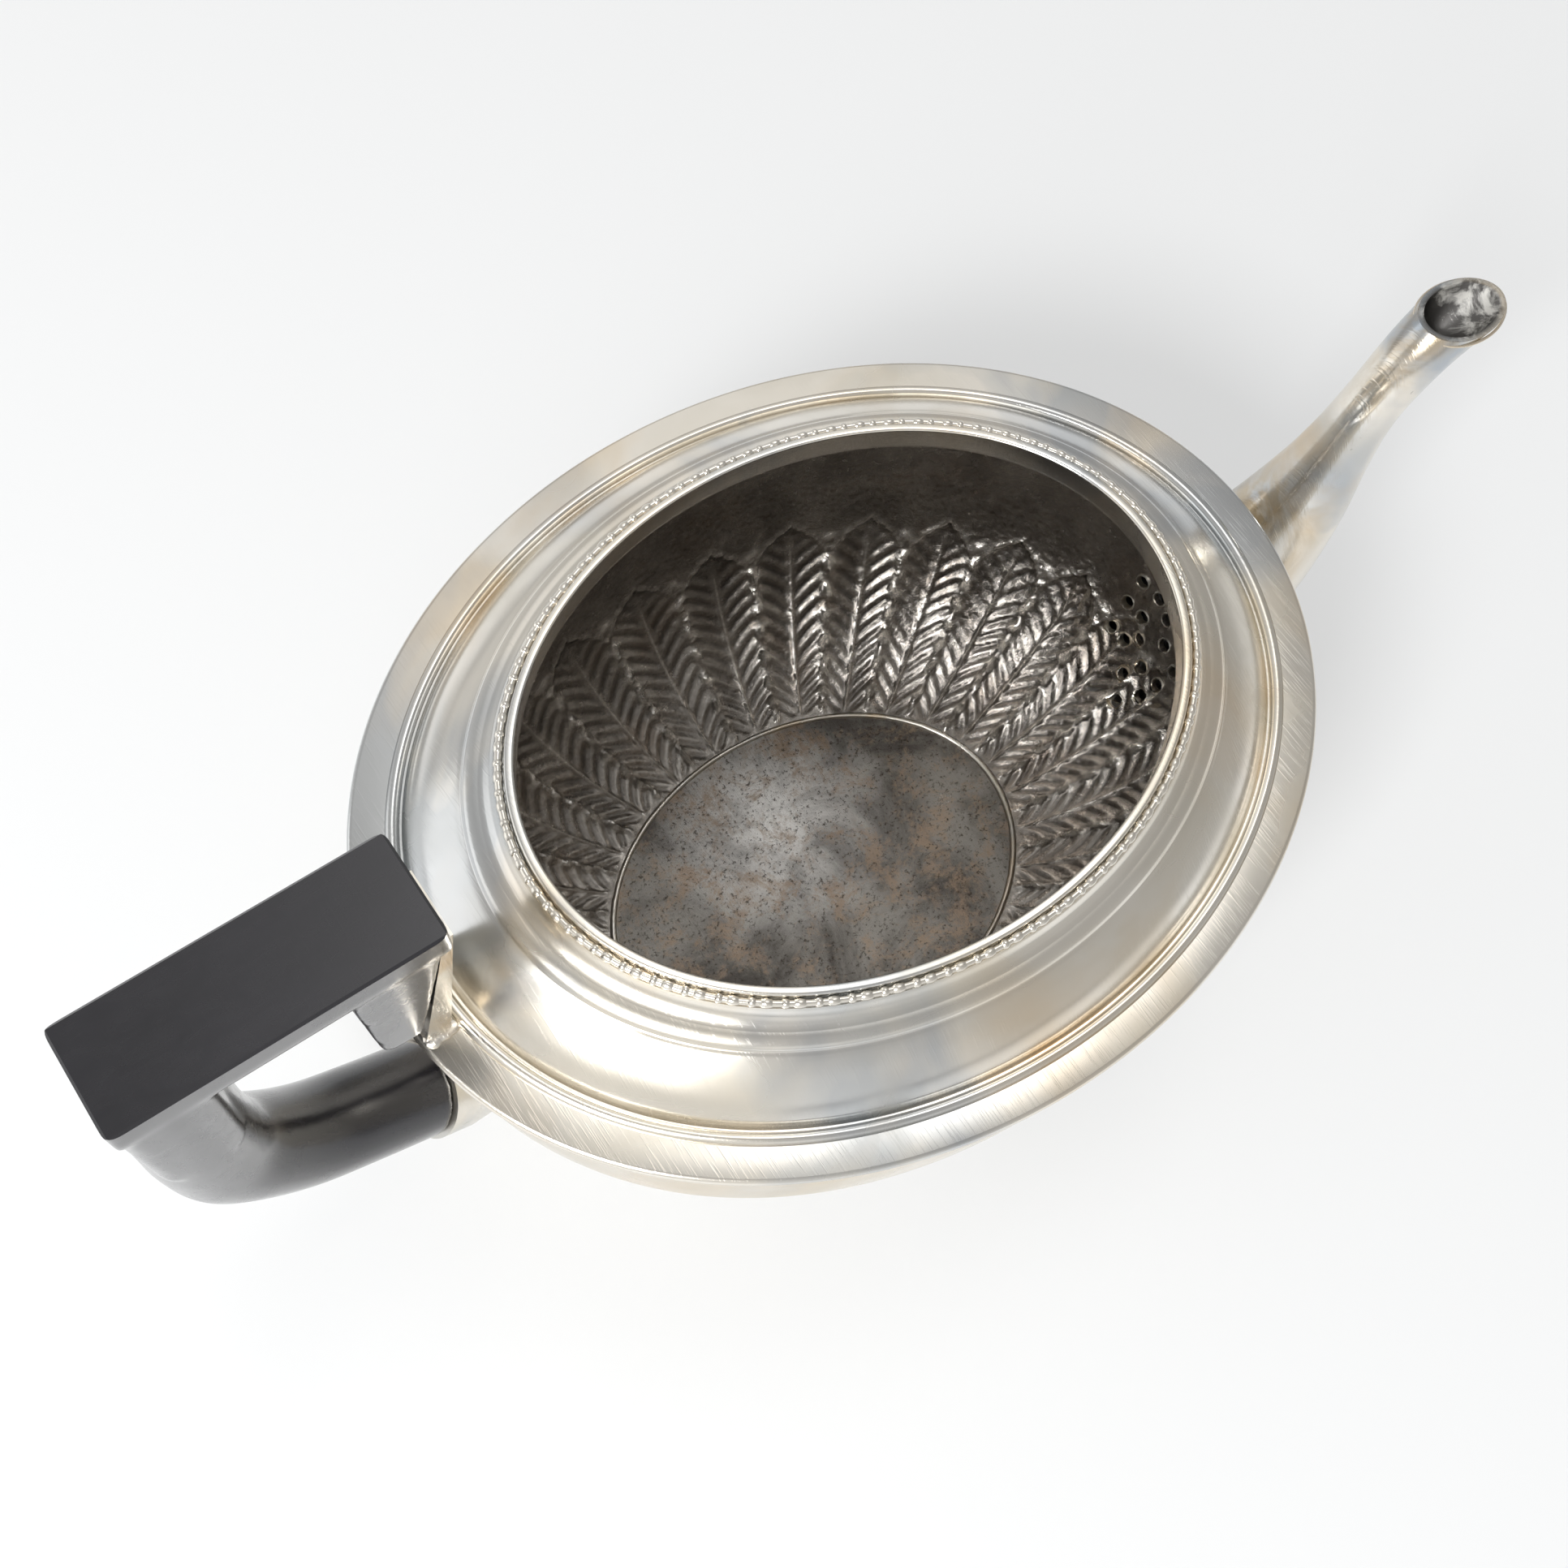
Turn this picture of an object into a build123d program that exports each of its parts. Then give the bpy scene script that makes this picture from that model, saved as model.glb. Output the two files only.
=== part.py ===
from build123d import *
import os
from math import cos, pi, radians, sin, sqrt

# Oval silver teapot without a lid, with a black composition handle and a strainer at the spout.
# Millimetres, +Z up, +X towards the spout. The origin is on the table, under the middle of the body.

# Heights above the table
FOOT_TOP = 1.3
FLANGE_UNDER = 73.4
FLANGE_TOP = 75.4
MOUTH_TOP = 93.0
GRIP_TOP = 120.8

# Half lengths of the ovals
FOOT_OUT = 49.2
FLOOR_EDGE = 46.0
BELLY_WIDEST = 86.3
FLANGE_OUT, FLANGE_IN = 90.0, 79.4
SHOULDER_FOOT = 80.4
MOUTH_IN, MOUTH_OUT = 59.6, 61.4

# Sheet and wire
SHEET = 1.1
FLOOR_SHEET = 1.6
RIDGE_WIRE = 1.3
BEAD_WIRE = 0.95
BEAD_DROP = 0.4
COLLAR_DROP = 5.6
WIRE_GAP = 0.02
FLANGE_ROUND = 0.7
LIP_ROUND = 0.5

# Belly: two quarter ellipses that meet at the widest height
BELLY_HEIGHT = 52.8
BELLY_CORE = 33.6
BELLY_DROP = 53.5
BELLY_RISE = 80.0
BOWL_HEIGHTS = (0.0, 2.3, 5.8, 11.8, 19.8, 29.8, 41.8, 53.8, 63.8, FLANGE_UNDER)

# Shoulder section: half length and height, from the flange to the neck
SHOULDER = (
    (SHOULDER_FOOT, FLANGE_TOP),
    (78.2, 78.4),
    (74.6, 82.2),
    (70.6, 85.2),
    (67.2, 87.0),
    (64.2, 88.6),
    (62.6, 90.4),
)

# Strainer: rows of hand-pierced holes, as height and places across
HOLE = 2.2
HOLE_START, HOLE_LENGTH = 60.0, 40.0
HOLE_ROWS = (
    (38.8, (6.5, 1.5)),
    (36.8, (-2.5,)),
    (32.3, (6.5, 2.0, -5.5)),
    (30.8, (-11.0,)),
    (28.3, (-0.5,)),
    (25.3, (6.0, 2.0, -5.0, -10.0)),
    (21.3, (-3.0, -9.0)),
    (17.3, (-6.0,)),
)

# Spout sections: x, height, rise in degrees, half width across, half width in the pouring plane
SPOUT = (
    (60.0, 27.8, 5.0, 14.0, 13.5),
    (90.0, 30.3, 17.0, 15.0, 14.5),
    (105.0, 38.8, 50.0, 12.6, 13.0),
    (113.8, 52.8, 70.0, 9.6, 9.8),
    (117.8, 67.8, 79.0, 6.9, 7.0),
    (121.0, 80.8, 72.0, 5.7, 5.8),
    (127.4, 93.4, 48.0, 6.0, 6.1),
    (137.0, 101.8, 37.0, 6.6, 6.9),
    (147.5, 108.8, 32.0, 6.7, 7.2),
)
SPOUT_WALL = 1.0
LIP_MIDDLE, LIP_HEIGHT = 135.1, 99.4
LIP_FALL = 5.0
LIP_WIRE = 0.6

# Handle: grip and arms
GRIP_FAR, GRIP_NEAR = -131.9, -79.8
GRIP_WIDE = 19.0
GRIP_THICK = 10.5
GRIP_ROUND = 6.5
ARM_RADIUS = 9.2
ARM_PATH = ((-122.7, 111.8), (-126.4, 60.8), (-112.5, 41.8), (-91.0, 27.8))
ARM_BENDS = (34.0, 34.0)
UPPER_ARM_X, UPPER_ARM_LONG, UPPER_ARM_WIDE = -88.5, 17.0, 18.4
HEEL_X, HEEL_LONG, HEEL_WIDE = -91.2, 7.6, 15.0
HEEL_HEIGHT = 80.8
HEEL_ROUND = 3.0

# Sockets, tongue, tenon and pins that hold the handle
TONGUE_X, TONGUE_MIDDLE = -88.2, 94.8
TONGUE_LONG, TONGUE_THICK, TONGUE_TALL = 9.0, 3.0, 24.0
PLATE_FOOT_X, PLATE_FOOT_LONG, PLATE_FOOT_WIDE = -86.2, 4.6, 15.0
PLATE_TOP_X, PLATE_TOP_LONG, PLATE_TOP_WIDE = -79.4, 1.6, 12.0
PIN = 2.0
UPPER_PIN_X, UPPER_PIN_HEIGHT, UPPER_PIN_LONG = -89.6, 95.8, 13.0
FERRULE = 10.0
TENON = 7.0
TENON_LENGTH = 6.5
NECK_X, NECK_HEIGHT, NECK_SLOPE = -77.5, 20.9, -0.28
NECK_SIZE = (9.0, 8.2)
SOCKET_ROOT_X, SOCKET_ROOT_HEIGHT = -64.0, 19.8
SOCKET_ROOT_SIZE = (8.6, 7.6)

# Side of the blocks that cut other shapes, larger than anything they cut
CUTTER = 400.0

FROM_BELOW = (Align.CENTER, Align.CENTER, Align.MIN)
FROM_ABOVE = (Align.CENTER, Align.CENTER, Align.MAX)


# Ovals of the body

def half_width(half_length):
    """Half width of every oval of the body, from its half length."""
    return 0.846 * half_length - 3.74


def oval(half_length, height):
    return Plane.XY.offset(height) * Ellipse(half_length, half_width(half_length))


def oval_block(half_length, low, high):
    return extrude(oval(half_length, low), amount=high - low)


def oval_ring(outside, inside, low, high):
    return oval_block(outside, low, high) - oval_block(inside, low, high)


def stack(section):
    """Solid through ovals, given as half length and height."""
    return loft([oval(half_length, height) for half_length, height in section])


def wire_round(section, half_length, height):
    """Sweep a section drawn in the XZ plane round the oval of that half length."""
    face = Plane((half_length, 0, height), x_dir=(1, 0, 0), z_dir=(0, -1, 0)) * section
    return sweep(face, path=oval(half_length, 0).edges()[0])


# Bowl, floor and foot

def belly(height):
    """Half length of the outside of the bowl at a height."""
    reach = BELLY_RISE if height > BELLY_HEIGHT else BELLY_DROP
    part = (height - BELLY_HEIGHT) / reach
    return BELLY_CORE + (BELLY_WIDEST - BELLY_CORE) * sqrt(1 - part * part)


def flatness(height):
    """How flat the wall lies, from 0 where it is upright to nearly 1 at the floor."""
    return max(0.0, (BELLY_HEIGHT - height) / BELLY_DROP) ** 4


def bowl_block(shrink=0.0):
    """The bowl as a full solid; shrink gives its inside."""
    return stack([(belly(z) - shrink, z + shrink * flatness(z)) for z in BOWL_HEIGHTS])


def bowl():
    shell = bowl_block() - bowl_block(SHEET)
    shell -= oval_block(FLOOR_EDGE, -SHEET, FLOOR_SHEET + 2 * SHEET)
    for height, places in HOLE_ROWS:
        for across in places:
            start = Plane((HOLE_START, across, height), z_dir=(1, 0, 0))
            shell -= start * Cylinder(HOLE / 2, HOLE_LENGTH, align=FROM_BELOW)
    return shell


def floor_plate():
    return oval_block(FLOOR_EDGE, 0, FLOOR_SHEET)


def foot_rim():
    return oval_ring(FOOT_OUT, FLOOR_EDGE, 0, FOOT_TOP) - bowl_block()


# Flange, shoulder and mouth

def flange_rim():
    band = oval_ring(FLANGE_OUT, FLANGE_IN, FLANGE_UNDER, FLANGE_TOP)
    between = pi * (FLANGE_OUT + FLANGE_IN + half_width(FLANGE_OUT) + half_width(FLANGE_IN)) / 2
    return fillet(band.edges().filter_by(lambda edge: edge.length > between), FLANGE_ROUND)


def ridge_wire():
    half_round = Circle(RIDGE_WIRE) - Pos(0, -RIDGE_WIRE) * Rectangle(4 * RIDGE_WIRE, 2 * RIDGE_WIRE)
    return wire_round(half_round, SHOULDER_FOOT + 1.27 * RIDGE_WIRE, FLANGE_TOP)


def shoulder():
    inside = [(a - 1.1 * SHEET, z - 0.7 * SHEET) for a, z in SHOULDER]
    inside[0] = (SHOULDER_FOOT - SHEET, FLANGE_TOP)
    inside[-1] = (MOUTH_OUT, SHOULDER[-1][1])
    return stack(SHOULDER) - stack(inside) - oval_block(MOUTH_OUT, FLANGE_TOP + COLLAR_DROP, MOUTH_TOP)


def mouth_collar():
    tube = oval_ring(MOUTH_OUT, MOUTH_IN, MOUTH_TOP - COLLAR_DROP, MOUTH_TOP)
    return fillet(tube.edges().group_by(Axis.Z)[-1], LIP_ROUND)


def bead_wire():
    middle = MOUTH_OUT + BEAD_WIRE + WIRE_GAP
    return wire_round(Circle(BEAD_WIRE), middle, MOUTH_TOP - BEAD_DROP - BEAD_WIRE)


# Spout

def spout_block(shrink=0.0):
    """The spout as a full solid, longer than its lip; shrink gives its bore."""
    faces = []
    for x, z, rise, across, tall in SPOUT:
        slope = radians(rise)
        section = Plane((x, 0, z), x_dir=(0, 1, 0), z_dir=(cos(slope), 0, sin(slope)))
        faces.append(section * Ellipse(across - shrink, tall - shrink))
    return loft(faces)


def lip_plane():
    fall = radians(LIP_FALL)
    return Plane((LIP_MIDDLE, 0, LIP_HEIGHT), x_dir=(0, 1, 0), z_dir=(sin(fall), 0, cos(fall)))


def spout():
    tube = spout_block() - spout_block(SPOUT_WALL)
    below_lip = lip_plane() * Box(CUTTER, CUTTER, CUTTER, align=FROM_ABOVE)
    return (tube & below_lip) - bowl_block()


def spout_lip_wire():
    band = lip_plane() * Box(CUTTER, CUTTER, 2 * LIP_WIRE, align=FROM_ABOVE)
    return (spout_block(-LIP_WIRE) - spout_block()) & band


# Handle

def grip():
    """Flat-topped grip, rounded underneath."""
    length = GRIP_NEAR - GRIP_FAR
    middle = Pos((GRIP_FAR + GRIP_NEAR) / 2, 0, GRIP_TOP)
    block = middle * Box(length, GRIP_WIDE, GRIP_THICK, align=FROM_ABOVE)
    return fillet(block.edges().filter_by(Axis.X).group_by(Axis.Z)[0], GRIP_ROUND)


def upper_arm():
    """Square arm that tapers from the grip to its heel on the flange."""
    top = Pos(UPPER_ARM_X, 0, GRIP_TOP - GRIP_THICK / 2) * Rectangle(UPPER_ARM_LONG, UPPER_ARM_WIDE)
    heel = Pos(HEEL_X, 0, HEEL_HEIGHT) * Rectangle(HEEL_LONG, HEEL_WIDE)
    arm = loft([heel, top])
    return fillet(arm.edges().group_by(Axis.Z)[0].filter_by(Axis.Y), HEEL_ROUND)


def arm_line():
    with BuildLine(Plane.XZ) as line:
        FilletPolyline(*ARM_PATH, radius=list(ARM_BENDS))
    return line.line


def lower_end():
    """Plane at the end of the lower arm, looking along it towards the body."""
    line = arm_line()
    return Plane(line @ 1, x_dir=(0, 1, 0), z_dir=line % 1)


def tenon():
    return lower_end() * Cylinder(TENON, TENON_LENGTH, align=FROM_BELOW)


def lower_arm():
    line = arm_line()
    return sweep(Plane(line @ 0, z_dir=line % 0) * Circle(ARM_RADIUS), path=line) + tenon()


def handle():
    body = grip() + upper_arm() + lower_arm()
    return body - tongue() - upper_pin() - lower_pin()


# Sockets and pins

def tongue():
    """Silver tongue of the upper socket, let into the upper arm."""
    return Pos(TONGUE_X, 0, TONGUE_MIDDLE) * Box(TONGUE_LONG, TONGUE_THICK, TONGUE_TALL)


def upper_pin():
    return Pos(UPPER_PIN_X, 0, UPPER_PIN_HEIGHT) * Rot(90, 0, 0) * Cylinder(PIN / 2, UPPER_PIN_LONG)


def lower_pin():
    middle = lower_end() * Pos(0, 0, TENON_LENGTH / 2)
    return Pos(middle.position) * Rot(90, 0, 0) * Cylinder(PIN / 2, 2 * FERRULE)


def upper_socket():
    """Back plate soldered to the flange, with a tongue that the handle is pinned to."""
    top = Pos(PLATE_TOP_X, 0, GRIP_TOP - GRIP_THICK) * Rectangle(PLATE_TOP_LONG, PLATE_TOP_WIDE)
    foot = Pos(PLATE_FOOT_X, 0, FLANGE_TOP) * Rectangle(PLATE_FOOT_LONG, PLATE_FOOT_WIDE)
    slotted_arm = upper_arm() - tongue()
    return loft([foot, top]) + tongue() - grip() - slotted_arm - upper_pin()


def lower_socket():
    """Silver cup round the tenon, with a neck that turns level into the wall of the bowl."""
    cup = lower_end() * Cylinder(FERRULE, TENON_LENGTH, align=FROM_BELOW)
    cup_end = lower_end().offset(TENON_LENGTH) * Circle(FERRULE)
    bend = Plane((NECK_X, 0, NECK_HEIGHT), x_dir=(0, 1, 0), z_dir=(1, 0, NECK_SLOPE)) * Ellipse(*NECK_SIZE)
    root = Plane((SOCKET_ROOT_X, 0, SOCKET_ROOT_HEIGHT), x_dir=(0, 1, 0), z_dir=(1, 0, 0))
    neck = loft([cup_end, bend, root * Ellipse(*SOCKET_ROOT_SIZE)])
    return cup + neck - tenon() - bowl_block() - lower_pin()


PARTS = {
    "bowl": bowl,
    "floor_plate": floor_plate,
    "foot_rim": foot_rim,
    "flange_rim": flange_rim,
    "ridge_wire": ridge_wire,
    "shoulder": shoulder,
    "mouth_collar": mouth_collar,
    "bead_wire": bead_wire,
    "spout": spout,
    "spout_lip_wire": spout_lip_wire,
    "handle": handle,
    "upper_socket": upper_socket,
    "lower_socket": lower_socket,
    "upper_pin": upper_pin,
    "lower_pin": lower_pin,
}

os.makedirs("parts", exist_ok=True)
for name, make in PARTS.items():
    export_step(make(), f"parts/{name}.step")
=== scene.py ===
"""Looks of an oval silver teapot without its lid: raised and chased silver with a black handle."""
import math
import random

import bmesh
import bpy
from mathutils import Matrix, Vector, noise
from mathutils.bvhtree import BVHTree


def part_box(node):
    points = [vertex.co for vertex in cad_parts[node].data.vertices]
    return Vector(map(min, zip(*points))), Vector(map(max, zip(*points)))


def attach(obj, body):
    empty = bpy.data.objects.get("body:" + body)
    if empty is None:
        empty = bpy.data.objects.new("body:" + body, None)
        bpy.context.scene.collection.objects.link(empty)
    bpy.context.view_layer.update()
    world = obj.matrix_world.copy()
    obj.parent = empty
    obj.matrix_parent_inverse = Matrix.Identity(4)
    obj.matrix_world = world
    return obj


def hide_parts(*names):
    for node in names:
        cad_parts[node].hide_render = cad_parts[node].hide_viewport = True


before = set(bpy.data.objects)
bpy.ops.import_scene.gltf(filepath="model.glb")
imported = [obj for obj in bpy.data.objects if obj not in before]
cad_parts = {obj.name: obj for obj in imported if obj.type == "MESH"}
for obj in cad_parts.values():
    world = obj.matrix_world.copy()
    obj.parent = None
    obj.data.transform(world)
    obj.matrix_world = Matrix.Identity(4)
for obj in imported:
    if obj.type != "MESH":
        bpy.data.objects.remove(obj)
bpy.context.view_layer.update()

MM = 0.001

# Columns round the spun shapes: the body's, and those of the bottom and foot
COLUMNS = 288
COLUMNS_BELOW = 192


def measured(node):
    """Lowest and highest corner of a part of the frame, in millimetres."""
    low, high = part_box(node)
    return low / MM, high / MM


flange_low, flange_high = measured("flange_rim")
floor_high = measured("floor_plate")[1]
collar_low, collar_high = measured("mouth_collar")
grip_low, grip_high = measured("handle")

# The bowl's wall: two quarter ellipses that meet at the widest height
BELLY_CORE = 33.6
BELLY_REACH = 52.7
BELLY_HEIGHT = 52.8
BELLY_DROP = 53.5
BELLY_RISE = 80.0
SHEET = 1.1

# The chased leaves: how many, columns and rows each one has, and columns they are turned by
LEAVES = 28
LEAF_COLUMNS = 24
LEAF_TURN_BY = 4
LEAF_ROWS = 92
LEAF_ROWS_OUTSIDE = 24
LEAF_TOP = 31.0
VEINS = 12.5
BEADS_PER_RIB = 8

# Strainer: height above the table, then places across
HOLE = 2.7
HOLE_ROWS = (
    (38.8, (6.5, 1.5)),
    (36.8, (-2.5,)),
    (32.3, (6.5, 2.0, -5.5)),
    (30.8, (-11.0,)),
    (28.3, (-0.5,)),
    (25.3, (6.0, 2.0, -5.0, -10.0)),
    (21.3, (-3.0, -9.0)),
    (17.3, (-6.0,)),
)
HOLES = [(across, height) for height, places in HOLE_ROWS for across in places]
DRILL_FROM, DRILL_TO = 55, 95
BURR_POINTS = 20

# Shoulder section, from the flange to the neck: half length and height
DOME = ((80.4, 75.4), (79.0, 77.4), (76.6, 80.2), (73.6, 82.8), (70.8, 84.8), (69.2, 85.7))
NECK_RIDGE = ((69.0, 86.1), (68.4, 86.7), (67.2, 87.2), (66.0, 87.4))
COVE = ((65.2, 87.7), (64.2, 88.4), (63.4, 89.4), (62.9, 90.4))

# Spout sections: x, height, rise in degrees, half width across, half width in the pouring plane
SPOUT = (
    (60.0, 27.8, 5.0, 14.0, 13.5),
    (90.0, 30.3, 17.0, 15.0, 14.5),
    (105.0, 38.8, 50.0, 12.6, 13.0),
    (113.8, 52.8, 70.0, 9.6, 9.8),
    (117.8, 67.8, 79.0, 6.9, 7.0),
    (121.0, 80.8, 72.0, 5.7, 5.8),
    (127.4, 93.4, 48.0, 6.0, 6.1),
    (137.0, 101.8, 37.0, 6.6, 6.9),
    (147.5, 108.8, 32.0, 6.7, 7.2),
)
ROOT_END, TIP_END = 65.0, 100.0
LIP_MIDDLE, LIP_HEIGHT = 135.1, 99.4
LIP_FALL = 5.0
LIP_WIRE = 0.6

# Lower arm of the handle, from inside the grip to the socket, in the same form
ARM = (
    (-124.4, 117.0, -90.0, 9.5, 8.4),
    (-124.7, 108.0, -91.0, 9.5, 8.6),
    (-125.1, 97.0, -91.0, 9.4, 8.8),
    (-125.4, 84.0, -91.0, 9.3, 9.0),
    (-125.4, 73.3, -92.0, 9.2, 9.2),
    (-124.2, 61.5, -74.0, 9.2, 9.2),
    (-119.0, 50.8, -55.0, 9.2, 9.2),
    (-112.2, 42.2, -44.0, 9.2, 9.2),
    (-103.0, 35.5, -34.0, 9.2, 9.2),
    (-91.0, 27.8, -33.1, 9.2, 9.2),
)
GRIP_FAR, GRIP_NEAR = grip_low.x + 2.0, -79.8
GRIP_THICK = 10.5
GRIP_EASE = 0.45
TENON, TENON_LENGTH = 6.8, 6.2

# Bead and reel in turn: how many pairs, and each one's place in the pair and proportions
BEAD_PAIRS = 67
BEAD_AND_REEL = ((0.18, (0.95, 0.95, 0.95)), (0.62, (1.55, 0.92, 0.92)))


# ---------------------------------------------------------------- ovals and pieces

def oval_width(half_length):
    """Half width of the body's oval, from its half length."""
    if half_length < floor_high.x:
        return half_length * floor_high.y / floor_high.x
    share = (half_length - floor_high.x) / (flange_high.x - floor_high.x)
    return floor_high.y + share * (flange_high.y - floor_high.y)


def squeeze(bm):
    """Turns a round spun shape into the body's oval one."""
    for v in bm.verts:
        radius = math.hypot(v.co.x, v.co.y) / MM
        if radius > 0.01:
            v.co.y *= oval_width(radius) / radius


def spin(outline, closed=True, columns=COLUMNS):
    """A round shape from an outline of half lengths and heights, still to be squeezed."""
    bm = bmesh.new()
    points = [bm.verts.new((a * MM, 0, z * MM)) for a, z in outline]
    for one, other in zip(points, points[1:] + points[:1] if closed else points[1:]):
        bm.edges.new((one, other))
    bmesh.ops.spin(
        bm, geom=bm.verts[:] + bm.edges[:], cent=(0, 0, 0), axis=(0, 0, 1), dvec=(0, 0, 0),
        angle=2 * math.pi, steps=columns, use_merge=True, use_duplicate=False,
    )
    bmesh.ops.remove_doubles(bm, verts=bm.verts[:], dist=1e-6)
    bmesh.ops.recalc_face_normals(bm, faces=bm.faces[:])
    return bm


def arc(middle, radius, start, end, steps):
    """Points on an arc in the outline plane, angles in degrees."""
    angles = [math.radians(start + (end - start) * k / steps) for k in range(steps + 1)]
    return [(middle[0] + radius * math.cos(g), middle[1] + radius * math.sin(g)) for g in angles]


def flowing(points, steps):
    """A smooth line through given points, whatever number of values each one holds."""
    line = []
    ends = [points[0]] + list(points) + [points[-1]]
    for before, here, there, after in zip(ends, ends[1:], ends[2:], ends[3:]):
        for k in range(steps):
            t = k / steps
            line.append(tuple(
                0.5 * (2 * b + (c - a) * t + (2 * a - 5 * b + 4 * c - d) * t ** 2
                       + (3 * b - a - 3 * c + d) * t ** 3)
                for a, b, c, d in zip(before, here, there, after)
            ))
    return line + [tuple(points[-1])]


def unevenness(bm, depth, size, keep=None):
    """Gentle hand-raised waves, so that reflections wander."""
    bm.normal_update()
    shifts = {}
    for v in bm.verts:
        if keep is None or keep(v.co):
            broad = noise.noise(v.co / (size * MM))
            small = noise.noise(v.co / (0.45 * size * MM) + Vector((7, 3, 5)))
            shifts[v] = v.co + v.normal * depth * MM * (broad + 0.5 * small)
    for v, place in shifts.items():
        v.co = place


def mesh_of(name, bm):
    mesh = bpy.data.meshes.new(name)
    bm.to_mesh(mesh)
    bm.free()
    return mesh


def join(bm, other):
    """Adds another shape to this one."""
    bm.from_mesh(mesh_of("joined", other))


def piece(name, bm, material, slot, *nodes, sharp=35):
    finished(name, mesh_of(name, bm), material, slot, *nodes, sharp=sharp)


def finished(name, mesh, material, slot, *nodes, sharp=35):
    """A piece of the pot from its mesh; edges steeper than sharp stay crisp."""
    mesh.shade_smooth()
    mesh.set_sharp_from_angle(angle=math.radians(sharp))
    mesh.materials.clear()
    mesh.materials.append(material)
    obj = bpy.data.objects.new(name, mesh)
    bpy.context.scene.collection.objects.link(obj)
    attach(obj, "root")
    if nodes:
        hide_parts(*nodes)


def loose(name, bm):
    """An object that belongs to no piece yet."""
    obj = bpy.data.objects.new(name, mesh_of(name, bm))
    bpy.context.scene.collection.objects.link(obj)
    return obj


def worked(obj):
    """The object's mesh as its modifiers leave it; the object goes."""
    bpy.context.view_layer.update()
    evaluated = obj.evaluated_get(bpy.context.evaluated_depsgraph_get())
    mesh = bpy.data.meshes.new_from_object(evaluated)
    bpy.data.objects.remove(obj)
    return mesh


def cut(target, cutter):
    """The target's mesh with the cutter taken out; both objects go."""
    modifier = target.modifiers.new("cut", "BOOLEAN")
    modifier.object = cutter
    modifier.operation = "DIFFERENCE"
    modifier.solver = "EXACT"
    mesh = worked(target)
    bpy.data.objects.remove(cutter)
    return mesh


def fused(name, bm, grain, passes):
    """Overlapping shapes made one skin, then smoothed; grain is in millimetres."""
    rough = loose(name, bm)
    remesh = rough.modifiers.new("fused", "REMESH")
    remesh.mode = "VOXEL"
    remesh.voxel_size = grain * MM
    smooth = rough.modifiers.new("smoothed", "SMOOTH")
    smooth.iterations = passes
    return worked(rough)


# ---------------------------------------------------------------- materials

class Nodes:
    """Short calls that add nodes to a tree."""

    def __init__(self, tree):
        self.tree = tree

    def node(self, kind, **settings):
        made = self.tree.nodes.new(kind)
        for key, value in settings.items():
            setattr(made, key, value)
        return made

    def link(self, source, target):
        self.tree.links.new(source, target)

    def group(self, group, **values):
        made = self.node("ShaderNodeGroup", node_tree=group)
        for key, value in values.items():
            made.inputs[key.replace("_", " ")].default_value = value
        return made

    def mix(self, factor, one, other):
        """Blends two colours."""
        made = self.node("ShaderNodeMix", data_type="RGBA")
        for socket, value in (("Factor", factor), (6, one), (7, other)):
            self.feed(made.inputs[socket], value)
        return made.outputs[2]

    def feed(self, socket, value):
        """Gives a socket a link, a colour or a number."""
        if isinstance(value, bpy.types.NodeSocket):
            self.link(value, socket)
        elif isinstance(value, tuple):
            socket.default_value = (*value, 1.0)
        else:
            socket.default_value = value

    def span(self, value, low, high, out_low=0.0, out_high=1.0, way="LINEAR"):
        """Stretches the range low to high over the range out_low to out_high."""
        made = self.node("ShaderNodeMapRange", interpolation_type=way)
        self.feed(made.inputs["Value"], value)
        for key, number in (
            ("From Min", low), ("From Max", high), ("To Min", out_low), ("To Max", out_high),
        ):
            made.inputs[key].default_value = number
        return made.outputs["Result"]

    def maths(self, operation, one, other):
        made = self.node("ShaderNodeMath", operation=operation)
        self.feed(made.inputs[0], one)
        self.feed(made.inputs[1], other)
        return made.outputs[0]

    def noise(self, scale, detail, rough=0.5, distortion=0.0, **placing):
        """Noise in the piece's own space; placing sets the Mapping node's inputs."""
        where = self.node("ShaderNodeTexCoord").outputs["Object"]
        if placing:
            mapping = self.node("ShaderNodeMapping")
            for key, value in placing.items():
                mapping.inputs[key].default_value = value
            self.link(where, mapping.inputs["Vector"])
            where = mapping.outputs["Vector"]
        made = self.node("ShaderNodeTexNoise")
        self.link(where, made.inputs["Vector"])
        for key, value in (
            ("Scale", scale), ("Detail", detail), ("Roughness", rough), ("Distortion", distortion),
        ):
            self.feed(made.inputs[key], value)
        return made.outputs["Fac"]


class Shader(Nodes):
    """A material with its Principled shader."""

    def __init__(self, name):
        self.material = bpy.data.materials.new(name)
        self.material.use_nodes = True
        super().__init__(self.material.node_tree)
        self.shader = self.tree.nodes["Principled BSDF"]

    def bump(self, height, strength, distance):
        made = self.node("ShaderNodeBump")
        made.inputs["Strength"].default_value = strength
        made.inputs["Distance"].default_value = distance
        self.link(height, made.inputs["Height"])
        self.link(made.outputs["Normal"], self.shader.inputs["Normal"])


class Group(Nodes):
    """A shared effect: a node group with a scale to feed in and named outputs."""

    def __init__(self, name, scale, outputs):
        super().__init__(bpy.data.node_groups.new(name, "ShaderNodeTree"))
        sockets = self.tree.interface
        kind = "NodeSocketFloat"
        sockets.new_socket("Scale", in_out="INPUT", socket_type=kind).default_value = scale
        for label in outputs:
            sockets.new_socket(label, in_out="OUTPUT", socket_type=kind)
        self.scale = self.node("NodeGroupInput").outputs["Scale"]
        self.out = self.node("NodeGroupOutput")


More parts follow.
